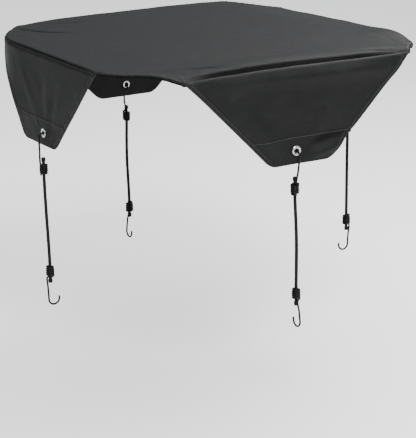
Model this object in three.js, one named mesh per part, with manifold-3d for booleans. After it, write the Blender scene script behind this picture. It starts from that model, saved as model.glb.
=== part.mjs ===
// A fitted cover for a square outdoor air conditioning unit, in its hanging shape.
// One eight-sided sheet of coated cloth lies flat on top, and its four tapered flaps hang
// down the sides. A metal eyelet in each flap's tip holds a bungee: an elastic cord with
// a coiled wire hook at each end. Millimetres, +Z up. The origin is at the centre of the
// underside of the top, where the cover rests on the unit that it is fitted to.

import * as THREE from 'three';
import Module from 'manifold-3d';
import { mergeVertices } from 'three/addons/utils/BufferGeometryUtils.js';

// Driving dimensions of the sheet
const TOP_WIDTH = 900;          // across two opposite flaps, outside
const CLOTH = 2;                // thickness of the cloth with its coating
const HEM_CLOTH = 3;            // thickness where a hem is turned
const CORNER_RADIUS = 130;      // plan radius at the corners that the cloth bridges
const WRAP_RADIUS = 222;        // the same at the rear left corner, which a flap wraps round
const EDGE_RADIUS = 9;          // roundness of the fold between the top and a flap
const FLAP_DROP = 240;          // from the fold to the tip of a flap
const FOLD_HALF = 326;          // half the length of a flap along its fold
const TIP_HALF = 88;            // half the width of a flap at its tip
const TIP_ROUND = 14;           // roundness of the two corners of a tip
const SIDE_HEM = 11;            // hem along a slanted edge and across a corner
const TIP_HEM = 70;             // wide doubled hem at the tip
const CORNER_DROOP = 2.5;       // the corner hem turns down by this much

// Driving dimensions of the eyelets and bungees
const EYELET_DROP = 206;        // from the top to an eyelet's centre
const EYELET_FLANGE = 12.5;     // outer radius of the ring on the outside
const EYELET_BACK = 10.5;       // outer radius of the ring on the inside
const EYELET_BARREL = 7.2;      // outer radius of the barrel through the cloth
const EYELET_BORE = 5.9;        // inner radius
const GAP = 0.3;                // left between pieces that touch
const CORD_RADIUS = 4.25;
const KNOB_RADIUS = 5.6;
const KNOB_LENGTH = 13;
const WIRE_RADIUS = 2.5;
const CORD_STANDOFF = 6;        // from the outside of a flap to the middle of a cord
const COIL_RADIUS = 9;          // middle of the wire, at the fat middle of a coil
const COIL_END_RADIUS = 8;      // the same, at the end turn that grips the cord
const COIL_TURNS = 5;
const COIL_PITCH = 5.5;
const UPPER_COIL_TOP = -287;
const LOWER_COIL_TOP = -558;
const UPPER_BEND_RADIUS = 12;   // hook through the eyelet
const UPPER_BEND_DROP = 0.5;    // the top of that bend hangs below the eyelet's centre
const LOWER_BEND_RADIUS = 15;   // hook that grips the grille
const LOWER_HOOK_BOTTOM = -661;

// Fineness of the faceted solids
const FLAP_COLUMNS = 18;
const CORNER_COLUMNS = 7;
const WIRE_SIDES = 6;
const WIRE_STEP = 7.6;
const COIL_POINTS = 8;          // points a turn
const CORD_SIDES = 10;
const CORD_STEPS = 10;
const RING_SEGMENTS = 20;

const HALF = TOP_WIDTH / 2 - CLOTH;                  // underside, from the centre to a flap
const SHANK_STANDOFF = CORD_STANDOFF + COIL_RADIUS;
const COIL_HEIGHT = COIL_TURNS * COIL_PITCH;

// The four sides in order, anticlockwise from above. out points away from the unit and
// along runs sideways. fold and tip are the sideways ends of a flap at its fold and at its
// tip: the left flap sits off centre, and the right one stops short of the near corner.
// eyelet, upper and lower are the sideways places of the eyelet and of the two coils.
const EVEN_FOLD = [-FOLD_HALF, FOLD_HALF];
const EVEN_TIP = [-TIP_HALF, TIP_HALF];
const SIDES = [
  {
    name: 'front', out: [0, -1], along: [1, 0],
    fold: EVEN_FOLD, tip: EVEN_TIP, eyelet: -14, upper: -22, lower: -18,
  },
  {
    name: 'right', out: [1, 0], along: [0, 1],
    fold: [-302, FOLD_HALF], tip: EVEN_TIP, eyelet: 0, upper: 2, lower: 4,
  },
  {
    name: 'back', out: [0, 1], along: [-1, 0],
    fold: EVEN_FOLD, tip: EVEN_TIP, eyelet: 0, upper: -2, lower: -4,
  },
  {
    name: 'left', out: [-1, 0], along: [0, -1],
    fold: [-350, 244], tip: [-170, 6], eyelet: -56, upper: -53, lower: -39,
  },
];

// Folds in the hanging flaps, as soft ridges (height above 0) and troughs (below 0).
// from and to are [sideways, depth below the fold]; width is the reach to each side.
const FLAP_FOLDS = [
  { side: 'front', from: [-270, -14], to: [240, -14], width: 11, height: -13 },
  { side: 'front', from: [-240, 24], to: [230, 23], width: 16, height: 9 },
  { side: 'front', from: [10, 196], to: [150, 178], width: 13, height: -6 },
  { side: 'front', from: [30, 222], to: [112, 208], width: 12, height: 8 },
  { side: 'front', from: [-190, 90], to: [-60, 190], width: 26, height: 3 },
  { side: 'left', from: [-250, 1], to: [220, 1], width: 6, height: -4 },
  { side: 'left', from: [-62, 60], to: [-58, 165], width: 16, height: -2.5 },
  { side: 'left', from: [-30, 60], to: [-42, 178], width: 15, height: 2.5 },
  { side: 'left', from: [12, 80], to: [-22, 190], width: 16, height: -2 },
  { side: 'right', from: [-240, 13], to: [240, 13], width: 7, height: -3 },
  { side: 'right', from: [-40, 50], to: [-14, 170], width: 16, height: 3 },
  { side: 'right', from: [44, 60], to: [18, 172], width: 16, height: -3 },
  { side: 'back', from: [-240, 13], to: [240, 13], width: 7, height: -3 },
  { side: 'back', from: [36, 50], to: [14, 170], width: 16, height: 3 },
  { side: 'back', from: [-48, 60], to: [-18, 172], width: 16, height: -3 },
];

// Creases in the top, where the cloth gathers towards its corners, as [x, y] from and to.
const TOP_FOLDS = [
  { from: [-335, 430], to: [-175, 378], width: 24, height: -2.5 },
  { from: [-388, 392], to: [-292, 265], width: 24, height: -2.5 },
  { from: [-425, 305], to: [-372, 262], width: 20, height: 2 },
  { from: [-305, -286], to: [-190, -376], width: 24, height: -2.5 },
  { from: [-320, -345], to: [-262, -384], width: 20, height: 2 },
  { from: [232, -383], to: [350, -430], width: 24, height: -2.5 },
  { from: [390, -250], to: [404, -365], width: 22, height: -2 },
];

// Places round which the top sags, as a bell with its reach in x and y. The edge over the
// right flap slopes down to both its corners. A drop below 0 is a rise: the last one is the
// swell behind the front fold, which ends in a trough along the fold.
const SAGS = [
  { at: [460, 420], reach: [90, 330], drop: 16 },
  { at: [450, -330], reach: [60, 55], drop: 20 },
  { at: [-330, -455], reach: [60, 50], drop: 5 },
  { at: [0, 450], reach: [300, 150], drop: -5 },
  { at: [450, -215], reach: [70, 70], drop: -5 },
  { at: [-350, 400], reach: [70, 60], drop: -4 },
  { at: [-60, -388], reach: [280, 60], drop: -12.5 },
];
const SAG_FADE = 120;           // sags fade out by this depth on a flap

const EYELET_CLEAR = 16;        // folds fade out within this distance of an eyelet
const EYELET_FADE = 34;

const clamp = (value, low, high) => Math.min(high, Math.max(low, value));

function smoothstep(low, high, value) {
  const t = clamp((value - low) / (high - low), 0, 1);
  return t * t * (3 - 2 * t);
}

const mix = (a, b, t) => a + (b - a) * t;

// Height of one soft fold at a point: a bell across the line, faded over its ends.
function foldHeight(fold, point) {
  const [ax, ay] = fold.from;
  const dx = fold.to[0] - ax;
  const dy = fold.to[1] - ay;
  const length = Math.hypot(dx, dy);
  const along = ((point[0] - ax) * dx + (point[1] - ay) * dy) / length;
  const across = ((point[0] - ax) * dy - (point[1] - ay) * dx) / length;
  const fade = Math.min(length * 0.35, 90);
  const ends = smoothstep(-fade, fade, along) * smoothstep(-fade, fade, length - along);
  return fold.height * ends * Math.exp(-((across / fold.width) ** 2));
}

// A place on the flat cut sheet, [x, y] from its centre, as sideways and depth on a side.
function onSide(side, point) {
  const sideways = point[0] * side.along[0] + point[1] * side.along[1];
  const depth = point[0] * side.out[0] + point[1] * side.out[1] - HALF;
  return [sideways, depth];
}

// How far the folds lift the cloth from its plain draped shape.
function relief(point) {
  let height = 0;
  for (const fold of TOP_FOLDS) height += foldHeight(fold, point);
  for (const side of SIDES) {
    const place = onSide(side, point);
    if (place[1] < -50) continue;
    const reach = Math.hypot(place[0] - side.eyelet, place[1] - EYELET_DROP);
    const calm = smoothstep(EYELET_CLEAR, EYELET_FADE, reach);
    for (const fold of FLAP_FOLDS) {
      if (fold.side === side.name) height += calm * foldHeight(fold, place);
    }
  }
  return height;
}

// How far the cloth sags at a place on the cut sheet.
function sag(point) {
  const depth = Math.max(Math.abs(point[0]), Math.abs(point[1])) - HALF;
  let total = 0;
  for (const { at, reach, drop } of SAGS) {
    const away = Math.hypot((point[0] - at[0]) / reach[0], (point[1] - at[1]) / reach[1]);
    total += drop * Math.exp(-(away ** 2));
  }
  return total * (1 - smoothstep(0, SAG_FADE, depth));
}

// The place where the cloth starts to turn down, for a place on the cut sheet: the foot
// on the inner edge of the fold, the direction out of the fold there, and how far past it
// the place lies. Opposite a flap the foot keeps its sideways place, so that the flap
// hangs straight, and at the middle of a round corner the cloth runs out radially.
function foldFoot(point) {
  const radius = point[0] < 0 && point[1] > 0 ? WRAP_RADIUS : CORNER_RADIUS;
  const centre = HALF - radius;
  const inner = radius - EDGE_RADIUS;
  const over = point.map((value) => Math.max(Math.abs(value) - centre, 0));
  const main = over[1] >= over[0] ? 1 : 0;
  const side = 1 - main;
  const sideways = Math.min(over[side] / inner, 0.96);
  const straightAngle = Math.asin(sideways);
  const straightPast = Math.abs(point[main]) - centre - inner * Math.cos(straightAngle);
  const radialAngle = Math.atan2(over[side], over[main]);
  const radialPast = Math.hypot(over[0], over[1]) - inner;
  const turn = smoothstep(0.3, 1, over[side] / (over[main] || 1));
  const angle = mix(straightAngle, radialAngle, turn);
  const foot = [0, 0];
  const out = [0, 0];
  out[main] = Math.sign(point[main]) * Math.cos(angle);
  out[side] = Math.sign(point[side]) * Math.sin(angle);
  foot[main] = Math.sign(point[main]) * centre + inner * out[main];
  foot[side] = point[side];
  if (over[side] > 0) foot[side] = Math.sign(point[side]) * centre + inner * out[side];
  return { foot, out, past: mix(straightPast, radialPast, turn) };
}

// The underside of the draped cloth at a place on the flat cut sheet: flat on top, a
// quarter round at the fold, straight down below it, lifted by the folds of the cloth.
function drape(point) {
  const { foot, out, past } = foldFoot(point);
  const lift = relief(point);
  if (past <= 0) return new THREE.Vector3(point[0], point[1], lift - sag(point));
  const angle = Math.min(past / (2 * EDGE_RADIUS), 1) * Math.PI / 2;
  const below = Math.max(past - 2 * EDGE_RADIUS, 0) + sag(point);
  const reach = (EDGE_RADIUS + lift) * Math.sin(angle);
  return new THREE.Vector3(
    foot[0] + out[0] * reach,
    foot[1] + out[1] * reach,
    (EDGE_RADIUS + lift) * Math.cos(angle) - EDGE_RADIUS - below,
  );
}

// The sideways places of the columns across one row of a flap, with one at each hem line.
function columns(low, high) {
  const hem = SIDE_HEM * Math.SQRT2;
  const places = [low, low + hem];
  const inner = FLAP_COLUMNS - 2;
  for (let i = 1; i < inner; i += 1) places.push(mix(low + hem, high - hem, i / inner));
  places.push(high - hem, high);
  return places;
}

// Sideways limits of a flap at a depth, with the two corners of its tip rounded.
function flapLimits(side, depth) {
  const down = depth / FLAP_DROP;
  const low = Math.max(depth - (FLAP_DROP - TIP_ROUND), 0);
  const round = TIP_ROUND - Math.sqrt(TIP_ROUND ** 2 - low ** 2);
  return [mix(side.fold[0], side.tip[0], down) + round, mix(side.fold[1], side.tip[1], down) - round];
}

function flapPoint(side, sideways, depth) {
  const reach = HALF + depth;
  return [
    side.out[0] * reach + side.along[0] * sideways,
    side.out[1] * reach + side.along[1] * sideways,
  ];
}

const RING_ROWS = [0.6, 0.85, 0.925, 0.96, 0.985];
const BEND_ROWS = [0, 5, 10, 18];
const HEM_ROWS = [24, 16, SIDE_HEM, 5];
const FLAP_ROWS = [4, 8, 14, 20, 27, 34, 46, 66, 96, 130, 168, 172, 190, 208, 226, 236, 240];

// The fraction of the way from the centre to a place at which the cloth is turned down
// by a given length, found by halving.
function fractionAt(point, past) {
  let low = 0.5;
  let high = 1;
  for (let i = 0; i < 20; i += 1) {
    const middle = (low + high) / 2;
    if (foldFoot(point.map((value) => value * middle)).past < past) low = middle;
    else high = middle;
  }
  return high;
}

// Fractions of the way from the centre to a place on the outline at which a column has
// its rows: some on the flat top, some across the fold or, where the cloth bridges a
// corner, along the hem, and one at the outline.
function columnRows(point) {
  const whole = foldFoot(point).past;
  const spread = smoothstep(10, 24, whole);
  const folded = smoothstep(3, EDGE_RADIUS, whole);
  const near = BEND_ROWS.map((past, i) => {
    const level = mix((whole * i) / BEND_ROWS.length, past, spread);
    const flat = 1 - HEM_ROWS[i] / Math.hypot(...point);
    return mix(flat, fractionAt(point, level), folded);
  });
  return [...RING_ROWS.map((row) => row * near[0]), ...near, 1];
}

// The outline of the top on the cut sheet: four folds joined by four corner hems.
function topOutline() {
  const outline = [];
  SIDES.forEach((side, index) => {
    const places = columns(...flapLimits(side, 0));
    places.forEach((place) => outline.push({ point: flapPoint(side, place, 0), hem: false }));
    const next = SIDES[(index + 1) % SIDES.length];
    const start = flapPoint(side, places[places.length - 1], 0);
    const end = flapPoint(next, flapLimits(next, 0)[0], 0);
    for (let i = 1; i < CORNER_COLUMNS; i += 1) {
      const t = i / CORNER_COLUMNS;
      outline.push({ point: [mix(start[0], end[0], t), mix(start[1], end[1], t)], hem: true });
    }
  });
  return outline;
}

// The cut sheet as places, thicknesses and triangles.
function cutSheet() {
  const places = [[0, 0]];
  const thickness = [CLOTH];
  const triangles = [];
  const add = (point, thick) => {
    places.push(point);
    thickness.push(thick);
    return places.length - 1;
  };
  const quad = (a, b, c, d) => triangles.push([a, b, c], [a, c, d]);

  const outline = topOutline();
  let inner = null;
  const rows = outline.map(({ point }) => columnRows(point));
  for (let level = 0; level < rows[0].length; level += 1) {
    const ring = outline.map(({ point, hem }, i) => {
      const row = rows[i][level];
      const thick = hem && (1 - row) * Math.hypot(...point) < SIDE_HEM ? HEM_CLOTH : CLOTH;
      return add([point[0] * row, point[1] * row], thick);
    });
    ring.forEach((index, i) => {
      const next = (i + 1) % ring.length;
      if (inner) quad(inner[i], index, ring[next], inner[next]);
      else triangles.push([0, index, ring[next]]);
    });
    inner = ring;
  }

  const stride = FLAP_COLUMNS + CORNER_COLUMNS;
  SIDES.forEach((side, number) => {
    const first = number * stride;
    let above = inner.slice(first, first + FLAP_COLUMNS + 1);
    for (const depth of FLAP_ROWS) {
      const row = columns(...flapLimits(side, depth)).map((place, i) => {
        const hem = i < 2 || i > FLAP_COLUMNS - 2 || depth > FLAP_DROP - TIP_HEM;
        return add(flapPoint(side, place, depth), hem ? HEM_CLOTH : CLOTH);
      });
      for (let i = 0; i < FLAP_COLUMNS; i += 1) quad(above[i], row[i], row[i + 1], above[i + 1]);
      above = row;
    }
  });
  return { places, thickness, triangles };
}

// Turns down the hem across each corner, where no flap carries the cloth on.
function droopCorners(outlineDistance) {
  return CORNER_DROOP * (1 - smoothstep(0, 16, outlineDistance)) ** 2;
}

// Distance from a place on the cut sheet to the nearest corner hem.
function cornerDistance(point) {
  let nearest = Infinity;
  SIDES.forEach((side, index) => {
    const next = SIDES[(index + 1) % SIDES.length];
    const a = flapPoint(side, flapLimits(side, 0)[1], 0);
    const b = flapPoint(next, flapLimits(next, 0)[0], 0);
    const length = Math.hypot(b[0] - a[0], b[1] - a[1]);
    const t = ((point[0] - a[0]) * (b[0] - a[0]) + (point[1] - a[1]) * (b[1] - a[1])) / length ** 2;
    const near = clamp(t, 0, 1);
    const away = Math.hypot(point[0] - mix(a[0], b[0], near), point[1] - mix(a[1], b[1], near));
    nearest = Math.min(nearest, away);
  });
  return nearest;
}

function closedGeometry(vertices, triangles) {
  const geometry = new THREE.BufferGeometry();
  geometry.setAttribute('position', new THREE.Float32BufferAttribute(vertices.flatMap((v) => v.toArray()), 3));
  geometry.setIndex(triangles.flat());
  return geometry;
}

// The sheet as one closed solid: underside, outside and a wall round its free edge.
function sheetGeometry() {
  const { places, thickness, triangles } = cutSheet();
  const under = places.map((place) => {
    const vertex = drape(place);
    vertex.z -= droopCorners(cornerDistance(place));
    return vertex;
  });
  const flat = closedGeometry(under, triangles);
  flat.computeVertexNormals();
  const normals = flat.getAttribute('normal');
  const outside = under.map((vertex, i) => {
    const normal = new THREE.Vector3().fromBufferAttribute(normals, i);
    return vertex.clone().addScaledVector(normal, thickness[i]);
  });

  const count = under.length;
  const used = new Set();
  triangles.forEach(([a, b, c]) => {
    used.add(`${a},${b}`);
    used.add(`${b},${c}`);
    used.add(`${c},${a}`);
  });
  const solid = [];
  triangles.forEach(([a, b, c]) => {
    solid.push([a + count, b + count, c + count], [c, b, a]);
    [[a, b], [b, c], [c, a]].forEach(([from, to]) => {
      if (!used.has(`${to},${from}`)) solid.push([from, to, to + count], [from, to + count, from + count]);
    });
  });
  return closedGeometry([...under, ...outside], solid);
}

// A point beside a flap: sideways, outwards from the flap's outside, and height.
function beside(side, sideways, outwards, height) {
  const reach = TOP_WIDTH / 2 + outwards;
  return new THREE.Vector3(
    side.out[0] * reach + side.along[0] * sideways,
    side.out[1] * reach + side.along[1] * sideways,
    height,
  );
}

// Turns a shape that was lathed round +Y so that its axis points outwards from a side.
function faceOutwards(geometry, side) {
  const axis = new THREE.Vector3(side.out[0], side.out[1], 0);
  geometry.applyQuaternion(new THREE.Quaternion().setFromUnitVectors(new THREE.Vector3(0, 1, 0), axis));
  return geometry;
}

// A ring pressed through the cloth: a domed flange outside, a barrel and a flange inside.
function eyeletGeometry(side) {
  const outside = HEM_CLOTH - CLOTH + GAP;
  const inside = -CLOTH - GAP;
  const profile = [
    [EYELET_BORE, inside - 1],
    [EYELET_BACK, inside - 1],
    [EYELET_BACK, inside],
    [EYELET_BARREL, inside],
    [EYELET_BARREL, outside],
    [EYELET_FLANGE, outside],
    [EYELET_FLANGE - 0.4, outside + 0.9],
    [EYELET_FLANGE - 2.6, outside + 1.6],
    [EYELET_BORE + 1.4, outside + 1.2],
    [EYELET_BORE, outside + 0.4],
    [EYELET_BORE, inside - 1],
  ].map(([radius, height]) => new THREE.Vector2(radius, height));
  return faceOutwards(new THREE.LatheGeometry(profile, RING_SEGMENTS), side);
}

function tube(points, radius, sides, steps) {
  const section = new THREE.Shape();
  for (let i = 0; i < sides; i += 1) {
    const angle = (i / sides) * 2 * Math.PI;
    const place = [radius * Math.cos(angle), radius * Math.sin(angle)];
    if (i === 0) section.moveTo(...place);
    else section.lineTo(...place);
  }
  const path = new THREE.CatmullRomCurve3(points, false, 'centripetal');
  path.arcLengthDivisions = 800;
  return new THREE.ExtrudeGeometry(section, { steps, bevelEnabled: false, extrudePath: path });
}

function wire(points) {
  const path = new THREE.CatmullRomCurve3(points, false, 'centripetal');
  const steps = Math.round(path.getLength() / WIRE_STEP);
  return tube(points, WIRE_RADIUS, WIRE_SIDES, steps);
}

// The turns of a coil round the cord, from the turn where the shank joins it. fall is -1
// where the turns run down from the shank and 1 where they run up from it.
function coilPoints(side, sideways, start, fall) {
  const points = [];
  const count = COIL_TURNS * COIL_POINTS;
  for (let i = 1; i <= count; i += 1) {
    const t = i / count;
    const angle = t * COIL_TURNS * 2 * Math.PI;
    const taper = smoothstep(0.62, 1, t);
    const radius = mix(COIL_RADIUS, COIL_END_RADIUS, taper);
    points.push(beside(
      side,
      sideways + radius * Math.sin(angle),
      CORD_STANDOFF + radius * Math.cos(angle),
      start + fall * t * COIL_HEIGHT,
    ));
  }
  return points;
}

// The upper hook: its bend goes through the eyelet from behind, and its shank runs down
// in front of the flap's tip into the coil.
function upperHookPoints(side) {
  const middle = SHANK_STANDOFF - UPPER_BEND_RADIUS;
  const height = -EYELET_DROP - UPPER_BEND_DROP - UPPER_BEND_RADIUS;
  const points = [beside(side, side.eyelet, middle - UPPER_BEND_RADIUS, height - 5)];
  for (let angle = 180; angle >= 0; angle -= 30) {
    const turn = THREE.MathUtils.degToRad(angle);
    points.push(beside(
      side,
      side.eyelet,
      middle + UPPER_BEND_RADIUS * Math.cos(turn),
      height + UPPER_BEND_RADIUS * Math.sin(turn),
    ));
  }
  points.push(beside(side, mix(side.eyelet, side.upper, 0.5), SHANK_STANDOFF, (height + UPPER_COIL_TOP) / 2));
  points.push(beside(side, side.upper - 1.5, SHANK_STANDOFF, UPPER_COIL_TOP + 6));
  return [...points, ...coilPoints(side, side.upper, UPPER_COIL_TOP, -1)];
}

// The lower hook: its shank leaves the bottom of the coil and bends in towards the unit.
function lowerHookPoints(side) {
  const middle = SHANK_STANDOFF - LOWER_BEND_RADIUS;
  const height = LOWER_HOOK_BOTTOM + LOWER_BEND_RADIUS;
  const coilBottom = LOWER_COIL_TOP - COIL_HEIGHT;
  const sideways = side.lower + 6;
  const points = [beside(side, sideways, middle - LOWER_BEND_RADIUS, height + 5)];
  for (let angle = 180; angle <= 360; angle += 30) {
    const turn = THREE.MathUtils.degToRad(angle);
    points.push(beside(
      side,
      sideways,
      middle + LOWER_BEND_RADIUS * Math.cos(turn),
      height + LOWER_BEND_RADIUS * Math.sin(turn),
    ));
  }
  points.push(beside(side, side.lower + 3, SHANK_STANDOFF, (height + coilBottom) / 2));
  points.push(beside(side, side.lower - 1.5, SHANK_STANDOFF, coilBottom - 6));
  return [...points, ...coilPoints(side, side.lower, coilBottom, 1)];
}

// The route of a stretched cord between its two knobs. Each row is how far down the cord
// it is, as a fraction, and how far it sways sideways and outwards from a straight line.
const CORD_ROUTE = [
  [0, 0, 0],
  [0.05, 0, 0],
  [0.11, 0, 0],
  [0.17, 0.4, 0.2],
  [0.24, 1, 0.5],
  [0.31, 1.6, 0.8],
  [0.38, 2, 1],
  [0.45, 2.1, 1.2],
  [0.52, 2, 1.2],
  [0.59, 1.7, 1],
  [0.66, 1.2, 0.8],
  [0.73, 0.7, 0.5],
  [0.8, 0.3, 0.2],
  [0.88, 0, 0],
  [0.94, 0, 0],
  [1, 0, 0],
];
const CORD_TOP = UPPER_COIL_TOP + 5;
const CORD_BOTTOM = LOWER_COIL_TOP - COIL_HEIGHT - 5;

function cordPoints(side) {
  return CORD_ROUTE.map(([down, sideways, outwards]) => {
    const straight = smoothstep(0.1, 0.9, down);
    return beside(
      side,
      mix(side.upper, side.lower, straight) + sideways,
      CORD_STANDOFF + outwards,
      mix(CORD_TOP, CORD_BOTTOM, down),
    );
  });
}

// The knob at a cord's end: a short rounded barrel standing on its axis.
function knobGeometry() {
  const half = KNOB_LENGTH / 2;
  const profile = [
    [0, -half],
    [KNOB_RADIUS - 2, -half],
    [KNOB_RADIUS, -half + 2.5],
    [KNOB_RADIUS, half - 2.5],
    [KNOB_RADIUS - 2, half],
    [0, half],
  ].map(([radius, height]) => new THREE.Vector2(radius, height));
  const geometry = new THREE.LatheGeometry(profile, 12);
  geometry.rotateX(Math.PI / 2);
  return geometry;
}

function mergedMesh(geometry) {
  const bare = geometry.clone();
  bare.deleteAttribute('normal');
  bare.deleteAttribute('uv');
  return mergeVertices(bare, 1e-4);
}

const wasm = await Module();
wasm.setup();

function toSolid(geometry) {
  const merged = mergedMesh(geometry);
  return new wasm.Manifold(new wasm.Mesh({
    numProp: 3,
    vertProperties: Float32Array.from(merged.getAttribute('position').array),
    triVerts: Uint32Array.from(merged.getIndex().array),
  }));
}

function toGeometry(solid) {
  const mesh = solid.getMesh();
  const geometry = new THREE.BufferGeometry();
  geometry.setAttribute('position', new THREE.BufferAttribute(mesh.vertProperties, 3));
  geometry.setIndex(new THREE.BufferAttribute(mesh.triVerts, 1));
  return geometry;
}

// The sheet with a round hole for each eyelet's barrel.
function coverGeometry() {
  let solid = toSolid(sheetGeometry());
  for (const side of SIDES) {
    const punch = new THREE.CylinderGeometry(EYELET_BARREL + GAP, EYELET_BARREL + GAP, 20, RING_SEGMENTS);
    faceOutwards(punch, side);
    punch.translate(...beside(side, side.eyelet, 0, -EYELET_DROP).toArray());
    solid = solid.subtract(toSolid(punch));
  }
  return toGeometry(solid);
}

const coatedCloth = new THREE.MeshStandardMaterial({ color: 0x2e2f31, roughness: 0.55, metalness: 0 });
const eyeletMetal = new THREE.MeshStandardMaterial({ color: 0xc9cacc, roughness: 0.25, metalness: 1 });
const elastic = new THREE.MeshStandardMaterial({ color: 0x191919, roughness: 0.85, metalness: 0 });
const coatedWire = new THREE.MeshStandardMaterial({ color: 0x141414, roughness: 0.4, metalness: 0 });

const cover = new THREE.Group();

function addPiece(name, geometry, material, place) {
  const mesh = new THREE.Mesh(geometry, material);
  mesh.name = name;
  if (place) mesh.position.copy(place);
  cover.add(mesh);
  return mesh;
}

addPiece('cover', coverGeometry(), coatedCloth);
for (const side of SIDES) {
  const knobGap = KNOB_LENGTH / 2 + GAP;
  addPiece(`eyelet_${side.name}`, eyeletGeometry(side), eyeletMetal, beside(side, side.eyelet, 0, -EYELET_DROP));
  addPiece(`hook_upper_${side.name}`, wire(upperHookPoints(side)), coatedWire);
  addPiece(`hook_lower_${side.name}`, wire(lowerHookPoints(side)), coatedWire);
  addPiece(`cord_${side.name}`, tube(cordPoints(side), CORD_RADIUS, CORD_SIDES, CORD_STEPS), elastic);
  addPiece(`knob_upper_${side.name}`, knobGeometry(), elastic,
    beside(side, side.upper, CORD_STANDOFF, CORD_TOP + knobGap));
  addPiece(`knob_lower_${side.name}`, knobGeometry(), elastic,
    beside(side, side.lower, CORD_STANDOFF, CORD_BOTTOM - knobGap));
}

export default cover;
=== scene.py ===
"""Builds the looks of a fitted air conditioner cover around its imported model, in metres.

The cover is one eight-sided sheet of coated cloth. It lies flat over a square top, and its
four tapered flaps hang down the sides. An eyelet in each flap's tip holds a bungee, which
is an elastic cord with a coiled wire hook at each end.
"""

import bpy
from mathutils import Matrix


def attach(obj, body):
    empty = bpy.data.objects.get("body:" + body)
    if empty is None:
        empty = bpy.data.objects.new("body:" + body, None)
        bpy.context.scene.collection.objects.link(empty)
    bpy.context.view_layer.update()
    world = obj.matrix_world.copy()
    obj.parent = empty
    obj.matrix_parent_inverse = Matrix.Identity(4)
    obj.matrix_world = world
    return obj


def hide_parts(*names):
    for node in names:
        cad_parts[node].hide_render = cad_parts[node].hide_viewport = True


bl_info = {
    "name": "Fitted cover",
    "version": (1, 0, 0),
    "blender": (4, 5, 0),
    "location": "3D View > Sidebar > Fitted cover",
    "description": "Builds a cover of coated cloth with its eyelets and bungees on its packed model",
    "category": "Add Mesh",
}

import bpy
import numpy as np
from bpy.props import FloatProperty, FloatVectorProperty, PointerProperty
from mathutils import Matrix, Vector

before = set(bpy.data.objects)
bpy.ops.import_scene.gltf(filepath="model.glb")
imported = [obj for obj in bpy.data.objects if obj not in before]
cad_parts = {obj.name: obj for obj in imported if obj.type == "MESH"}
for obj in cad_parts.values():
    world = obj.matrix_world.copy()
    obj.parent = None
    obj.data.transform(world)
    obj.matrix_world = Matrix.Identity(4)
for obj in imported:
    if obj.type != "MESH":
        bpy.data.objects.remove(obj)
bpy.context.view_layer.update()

# The sheet, in metres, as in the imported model
TOP_WIDTH = 0.9
CLOTH = 0.002
HEM_CLOTH = 0.003
CORNER_RADIUS = 0.13
WRAP_RADIUS = 0.222
EDGE_RADIUS = 0.009
FLAP_DROP = 0.24
FOLD_HALF = 0.326
TIP_HALF = 0.088
TIP_ROUND = 0.014
SIDE_HEM = 0.011
RIM = 0.0018
WORN_WIDTH = 0.004
TIP_HEM = 0.07
TIP_SEAM = 0.003
STITCH_INSET = 0.009
STITCH_RADIUS = 0.00042
STITCH_RISE = 0.00022
GROOVE_DEPTH = 0.0004
CORNER_DROOP = 0.0025
NEAR_CORNER_DROOP = 0.0055
DROOP_REACH = 0.016
HALF = TOP_WIDTH / 2 - CLOTH
FLAT_SPAN = 2 * (HALF + FLAP_DROP)

# Eyelets and bungees
EYELET_DROP = 0.206
EYELET_FLANGE = 0.0125
EYELET_BACK = 0.0105
EYELET_BARREL = 0.0072
EYELET_BORE = 0.0059
EYELET_DOME = 0.0016
GAP = 0.0003
CORD_RADIUS = 0.00425
KNOB_RADIUS = 0.0056
KNOB_LENGTH = 0.013
WIRE_RADIUS = 0.0025
CORD_STANDOFF = 0.006
GRIP_SWELL = 0.0006
GRIP_MIDDLE = 0.055
GRIP_REACH = 0.03
COIL_RADIUS = 0.009
COIL_END_RADIUS = 0.008
COIL_TURNS = 5
COIL_PITCH = 0.0055
COIL_HEIGHT = COIL_TURNS * COIL_PITCH
COIL_NARROWS = 0.62
UPPER_COIL_TOP = -0.287
LOWER_COIL_TOP = -0.558
UPPER_BEND_RADIUS = 0.012
UPPER_BEND_DROP = 0.0005
LOWER_BEND_RADIUS = 0.015
LOWER_HOOK_BOTTOM = -0.661
LOWER_BEND_SHIFT = 0.006
HOOK_TIP = 0.005
SHANK_LEAN = 0.0015
SHANK_END = 0.006
SHANK_STANDOFF = CORD_STANDOFF + COIL_RADIUS
CORD_TOP = UPPER_COIL_TOP + 0.005
CORD_BOTTOM = LOWER_COIL_TOP - COIL_HEIGHT - 0.005
UPWARDS = np.array([0.0, 0.0, 1.0])

# Fineness
CORD_SIDES = 20
CORD_POINTS = 150
WIRE_SIDES = 14
WIRE_POINTS = 620
COIL_POINTS = 16
BEND_STEP = 15
CAP_RINGS = 4
RING_SEGMENTS = 72
STITCH_SIDES = 6

# The four sides, anticlockwise from above. out points away from the middle and along runs
# sideways. fold and tip are the sideways ends of a flap at its fold and at its tip, and
# eyelet, upper and lower are the sideways places of the eyelet and of the two coils.
EVEN_FOLD = (-FOLD_HALF, FOLD_HALF)
EVEN_TIP = (-TIP_HALF, TIP_HALF)
SIDES = (
    {"name": "front", "out": (0, -1, 0), "along": (1, 0, 0), "fold": EVEN_FOLD, "tip": EVEN_TIP,
     "eyelet": -0.014, "upper": -0.022, "lower": -0.018},
    {"name": "right", "out": (1, 0, 0), "along": (0, 1, 0), "fold": (-0.302, FOLD_HALF), "tip": EVEN_TIP,
     "eyelet": 0.0, "upper": 0.002, "lower": 0.004},
    {"name": "back", "out": (0, 1, 0), "along": (-1, 0, 0), "fold": EVEN_FOLD, "tip": EVEN_TIP,
     "eyelet": 0.0, "upper": -0.002, "lower": -0.004},
    {"name": "left", "out": (-1, 0, 0), "along": (0, -1, 0), "fold": (-0.35, 0.244), "tip": (-0.17, 0.006),
     "eyelet": -0.056, "upper": -0.053, "lower": -0.039},
)

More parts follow.
